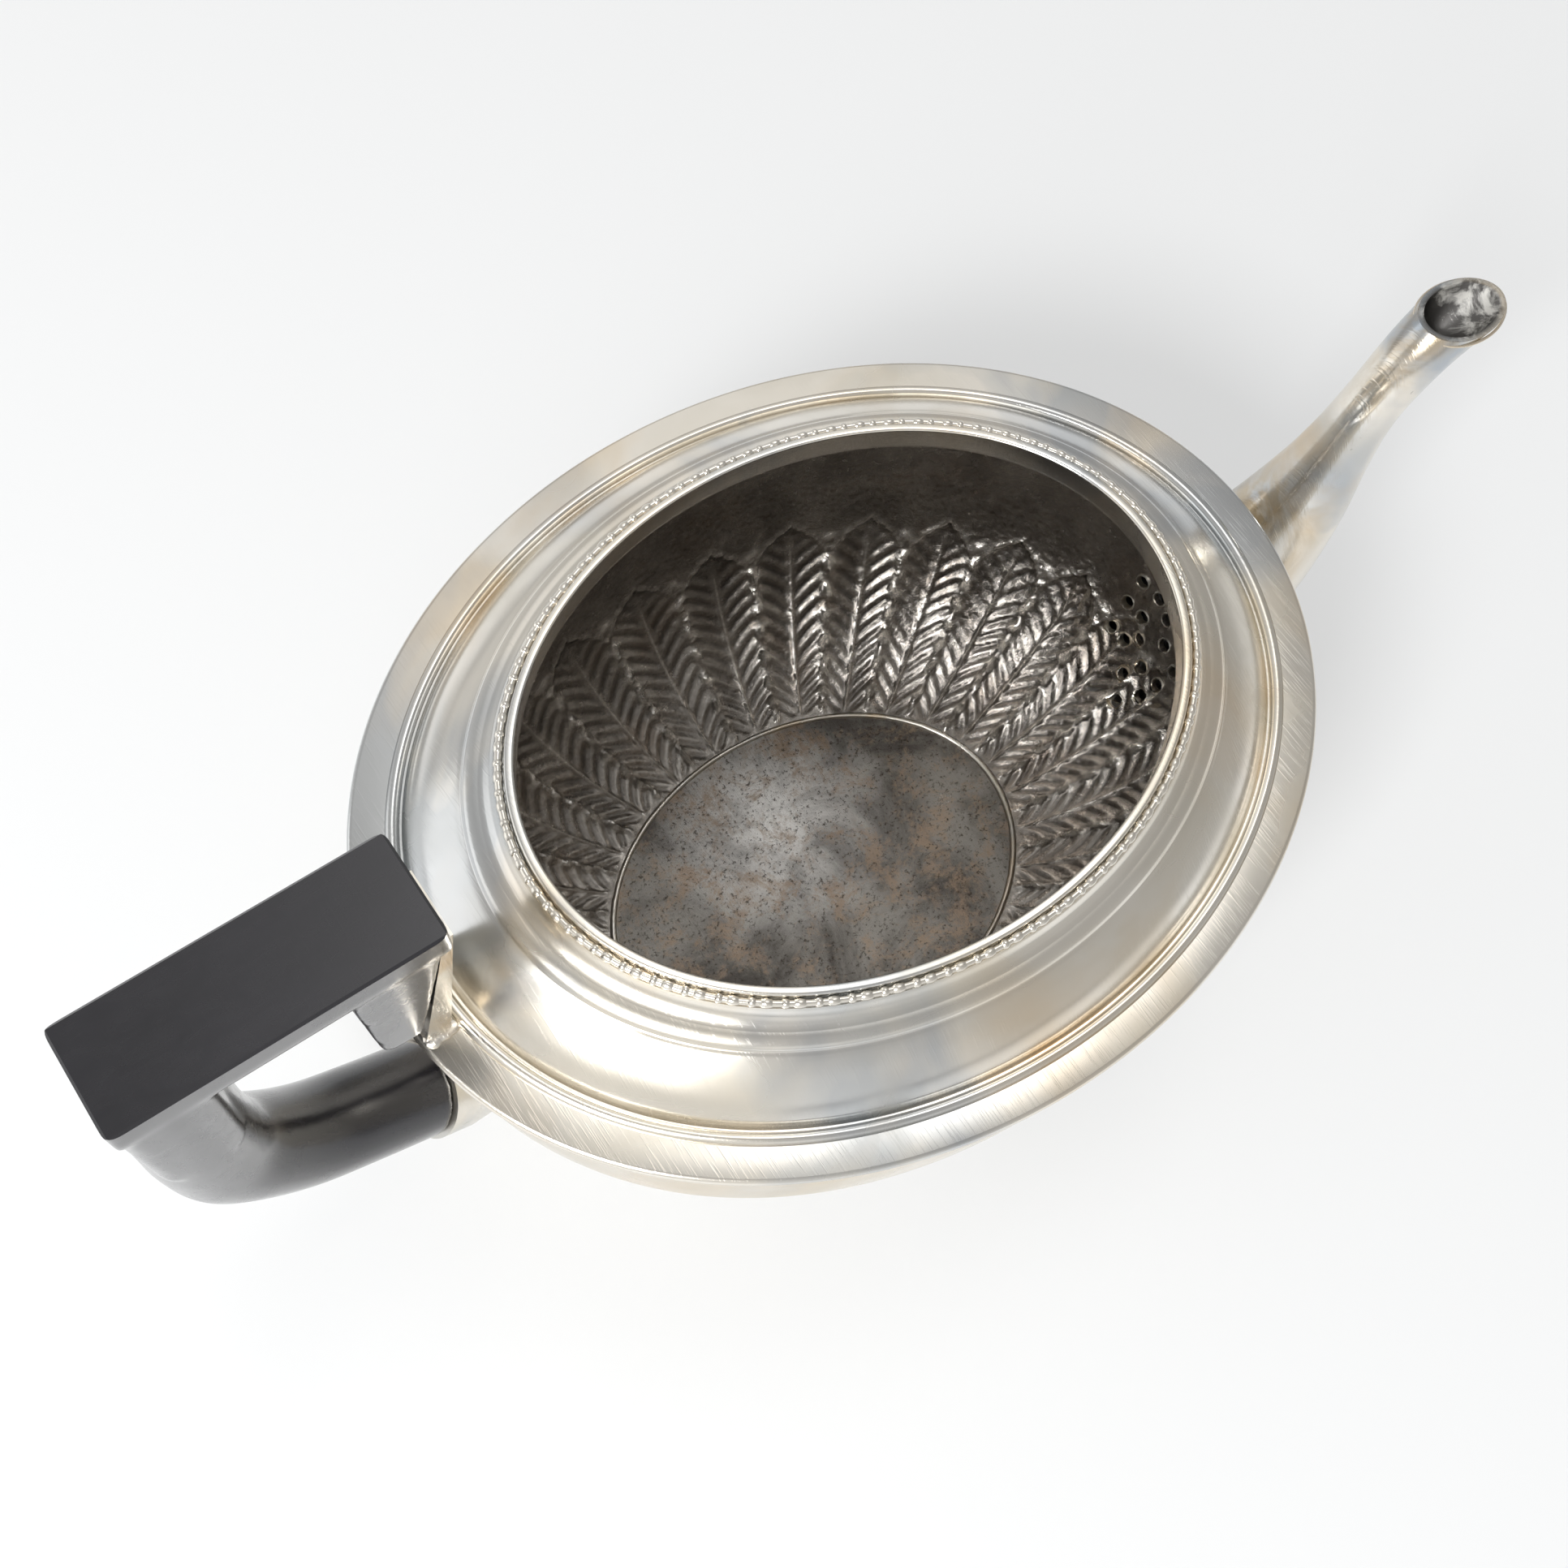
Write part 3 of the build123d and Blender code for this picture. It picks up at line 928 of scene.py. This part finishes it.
def round_edges(bm, width, choose, segments=5):
    """Rounds the edges that choose picks from their middle and their run."""
    edges = []
    for e in bm.edges:
        one, other = (v.co for v in e.verts)
        if choose((one + other) / 2, other - one):
            edges.append(e)
    bmesh.ops.bevel(
        bm, geom=edges, offset=width, offset_type="OFFSET", segments=segments, profile=0.5,
        affect="EDGES", material=-1,
    )


def plane_off(bm, point, normal):
    """Planes everything off beyond a plane, and closes the cut."""
    made = bmesh.ops.bisect_plane(
        bm, geom=bm.verts[:] + bm.edges[:] + bm.faces[:], clear_outer=True,
        plane_co=point, plane_no=normal,
    )["geom_cut"]
    rim = [part for part in made if isinstance(part, bmesh.types.BMEdge) and part.is_boundary]
    bmesh.ops.holes_fill(bm, edges=rim, sides=0)


def make_handle(material):
    """Grip and arms carved from one piece, with the grip's top planed flat and its edges eased."""
    half, top = grip_high.y, grip_high.z
    grip = block((GRIP_FAR, -half, top - GRIP_THICK), (GRIP_NEAR, half, top + 3))
    round_edges(grip, 5.0, lambda at, run: at.z < top - 5 and abs(run.x) > 1)
    round_edges(grip, 1.0, lambda at, run: abs(run.z) > 5, 3)
    upper = block((-97.0, -9.2, 80.8), (-80.2, 9.2, top - 2), foot=(-95.0, -87.6, 7.5))
    round_edges(upper, 2.6, lambda at, run: at.z < 85 and abs(run.y) > 1 and at.x < -90)
    round_edges(upper, 1.0, lambda at, run: abs(run.z) > 5, 3)
    whole = tube(ARM, 6, 40, True)
    whole.transform(Matrix.Scale(1 / MM, 4))
    x, z, fall = ARM[-1][:3]
    along = Matrix.Translation((x, 0, z)) @ Matrix.Rotation(math.radians(90 - fall), 4, "Y")
    bmesh.ops.create_cone(
        whole, cap_ends=True, segments=40, radius1=TENON, radius2=TENON, depth=2 * TENON_LENGTH,
        matrix=along,
    )
    knuckle = block((GRIP_FAR + 0.1, 0.1 - half, 84.0), (-117.5, half - 0.1, top - 6),
                    foot=(-132.6, -118.0, 8.3))
    round_edges(knuckle, 3.0, lambda at, run: abs(run.z) > 5, 4)
    for part in (grip, upper, knuckle):
        join(whole, part)
    whole.transform(Matrix.Scale(MM, 4))
    bm = bmesh.new()
    bm.from_mesh(fused("handle_rough", whole, 0.6, 16))
    plane_off(bm, (0, 0, top * MM), (0, 0, 1))
    for x, y, way in (
        (0, half, (0, 1)), (0, -half, (0, -1)), (GRIP_FAR, 0, (-1, 0)), (GRIP_NEAR, 0, (1, 0)),
    ):
        point = Vector((x - way[0] * GRIP_EASE, y - way[1] * GRIP_EASE, top)) * MM
        plane_off(bm, point, (*way, 1))
    piece("handle_carved", bm, material, "black_handle", "handle", sharp=32)


def make_solder(material):
    """Lumps of solder along the foot of the upper socket."""
    dice = random.Random(5)
    bm = bmesh.new()
    foot = [(-87.8 + 1.5 * k, side) for side in (-7.7, 7.7) for k in range(4)]
    foot += [(-83.6, -7.0 + 1.75 * k) for k in range(9)]
    for x, y in foot:
        size = [dice.uniform(1.0, 1.9), dice.uniform(1.1, 1.9), dice.uniform(0.35, 0.8)]
        x, y = x + dice.uniform(-0.5, 0.5), y + dice.uniform(-0.5, 0.5)
        place = Matrix.Translation(Vector((x, y, flange_high.z + 0.1)) * MM)
        form = Matrix.Diagonal((*(Vector(size) * MM), 1))
        bmesh.ops.create_icosphere(bm, subdivisions=3, radius=1.0, matrix=place @ form)
    mesh = fused("solder_rough", bm, 0.16, 14)
    finished("solder", mesh, material, "socket_silver", sharp=80)


def dress(node, material):
    """Gives a part of the frame its finish."""
    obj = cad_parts[node]
    obj.data.materials.clear()
    obj.data.materials.append(material)


# ---------------------------------------------------------------- stage

def soft_box(name, place, aim, size, power):
    """A square light of the given side, in metres."""
    data = bpy.data.lights.new(name, "AREA")
    data.size = size
    data.energy = power
    obj = bpy.data.objects.new(name, data)
    obj.location = place
    obj.rotation_euler = (Vector(aim) - Vector(place)).to_track_quat("-Z", "Y").to_euler()
    bpy.context.scene.collection.objects.link(obj)


def make_stage():
    """A white table that glows by itself, painted light that darkens with distance, so that it
    doesn't flood the silver's sides.
    """
    bm = bmesh.new()
    bmesh.ops.create_grid(bm, x_segments=1, y_segments=1, size=3.0)
    table = loose("table", bm)
    glowing_table = Shader("white_table")
    away = glowing_table.node("ShaderNodeVectorMath", operation="LENGTH")
    glowing_table.link(glowing_table.node("ShaderNodeTexCoord").outputs["Object"], away.inputs[0])
    far = glowing_table.span(away.outputs["Value"], 0.42, 1.1)
    # The table's glow is painted light: it lights the pot from below and fills in its shadow
    for socket, near_tone, far_tone in (
        ("Base Color", (0.60, 0.605, 0.61), (0.30, 0.30, 0.30)),
        ("Emission Color", (0.285, 0.29, 0.295), (0.15, 0.15, 0.15)),
    ):
        glowing_table.link(glowing_table.mix(far, near_tone, far_tone), glowing_table.shader.inputs[socket])
    glowing_table.shader.inputs["Roughness"].default_value = 0.7
    glowing_table.shader.inputs["Emission Strength"].default_value = 1.0
    table.data.materials.append(glowing_table.material)


# Bright areas of the tent: direction, cosines where one starts and where it is full, strength
GLOWS = (
    ((0.24, 0.16, 0.96), 0.955, 0.998, 2.1),
    ((0.30, 0.60, 0.74), 0.86, 1.0, 0.40),
    ((-0.35, -0.93, 0.10), 0.86, 1.0, 0.20),
)


def make_studio():
    """A pale tent, brighter on the handle's side and overhead, with three soft boxes."""
    world = bpy.data.worlds.new("studio")
    bpy.context.scene.world = world
    bpy.context.scene.view_settings.view_transform = "Standard"
    world.use_nodes = True
    tent = Nodes(world.node_tree)
    where = tent.node("ShaderNodeTexCoord").outputs["Generated"]
    split = tent.node("ShaderNodeSeparateXYZ")
    tent.link(where, split.inputs["Vector"])
    side = tent.span(split.outputs["X"], -1.0, 1.0, 0.80, 0.42)
    total = tent.maths("MULTIPLY", side, tent.span(split.outputs["Z"], 0.0, 1.0, 1.0, 0.76))
    for direction, start, full, strength in GLOWS:
        dot = tent.node("ShaderNodeVectorMath", operation="DOT_PRODUCT")
        tent.link(where, dot.inputs[0])
        dot.inputs[1].default_value = Vector(direction).normalized()
        glow = tent.span(dot.outputs["Value"], start, full, 0.0, strength, "SMOOTHSTEP")
        total = tent.maths("ADD", total, glow)
    background = world.node_tree.nodes["Background"]
    background.inputs["Color"].default_value = (1.0, 0.99, 0.97, 1)
    tent.link(total, background.inputs["Strength"])
    soft_box("near_left_box", (-0.84, -0.45, 0.70), (0, 0, 0.06), 0.5, 3.2)
    soft_box("high_left_lamp", (-0.78, -0.34, 0.84), (0.02, 0.01, 0.05), 0.3, 6.5)
    soft_box("far_left_box", (-1.0, 0.75, 0.35), (0, 0, 0.06), 0.8, 1.4)


def make_camera():
    """Steep view from the handle's side."""
    azimuth, elevation, roll = math.radians(-42.33), math.radians(66.74), math.radians(8.36)
    reach = 0.3363
    aim = Vector((-0.01322, -0.00033, 0.07087))
    level = math.cos(elevation)
    back = Vector((math.sin(azimuth) * level, -math.cos(azimuth) * level, math.sin(elevation)))
    right = Vector((math.cos(azimuth), math.sin(azimuth), 0))
    up = back.cross(right)
    turned_right = right * math.cos(roll) + up * math.sin(roll)
    turned_up = up * math.cos(roll) - right * math.sin(roll)
    data = bpy.data.cameras.new("camera")
    data.lens = 44.26
    data.sensor_width = 36.0
    data.clip_start = 0.01
    camera = bpy.data.objects.new("camera", data)
    rotation = Matrix((turned_right, turned_up, back)).transposed().to_4x4()
    camera.matrix_world = Matrix.Translation(aim + back * reach) @ rotation
    bpy.context.scene.collection.objects.link(camera)
    bpy.context.scene.camera = camera


make_camera()
make_stage()
make_studio()
make_bowl(chased_silver())
make_floor(floor_silver())
make_seam(socket_silver)
make_foot(body_silver)
make_flange(body_silver)
make_ridge(body_silver)
make_shoulder(body_silver)
make_collar(body_silver)
make_beads(bead_silver)
make_spout(spout_silver)
make_lip_wire(body_silver)
make_handle(black)
make_solder(socket_silver)
for part in ("upper_socket", "lower_socket", "upper_pin", "lower_pin"):
    dress(part, socket_silver)
